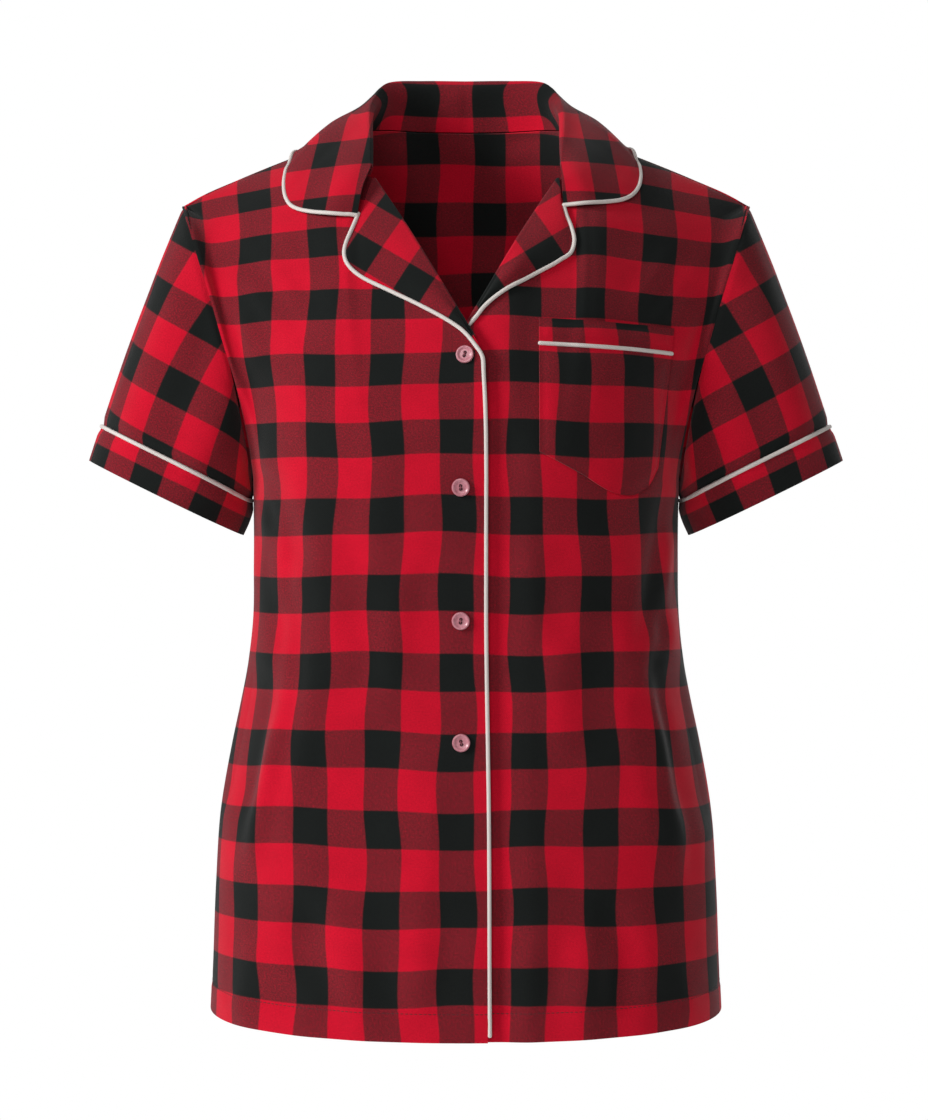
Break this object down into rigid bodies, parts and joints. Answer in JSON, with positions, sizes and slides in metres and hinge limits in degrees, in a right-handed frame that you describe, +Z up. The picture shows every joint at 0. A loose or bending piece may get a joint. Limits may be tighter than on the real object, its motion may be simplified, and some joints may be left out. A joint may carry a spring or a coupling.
{
  "type": "flannel shirt",
  "caption": "Short-sleeved buttoned shirt in checked flannel, with a notched collar, piped edges, turned cuffs and a patch pocket, filled out as worn but hollow.",
  "frame": {"origin": "the middle of the neck, level with the sides of the neck seam, where the wearer's neck and shoulders hold the shirt up", "axes": "+Z up, +Y to the wearer's back, +X to the wearer's left"},
  "size_m": [0.5606, 0.2458, 0.7066],
  "materials": {
    "flannel": "matt brushed cotton twill in a red and black check",
    "piping": "off-white cotton sateen piping",
    "buttons": "pearly pink polyester, glossy"
  },
  "bodies": {
    "root": {"front_right": "flannel", "front_left": "flannel", "back": "flannel", "sleeve_right": "flannel", "sleeve_left": "flannel", "cuff_right": "flannel", "cuff_left": "flannel", "collar": "flannel", "lapel_right": "flannel", "lapel_left": "flannel", "pocket": "flannel", "pocket_band": "flannel", "collar_piping": "piping", "front_piping": "piping", "lapel_piping_left": "piping", "cuff_piping_right": "piping", "cuff_piping_left": "piping", "pocket_piping": "piping", "button_1": "buttons", "button_2": "buttons", "button_3": "buttons", "button_4": "buttons"}
  },
  "joints": []
}
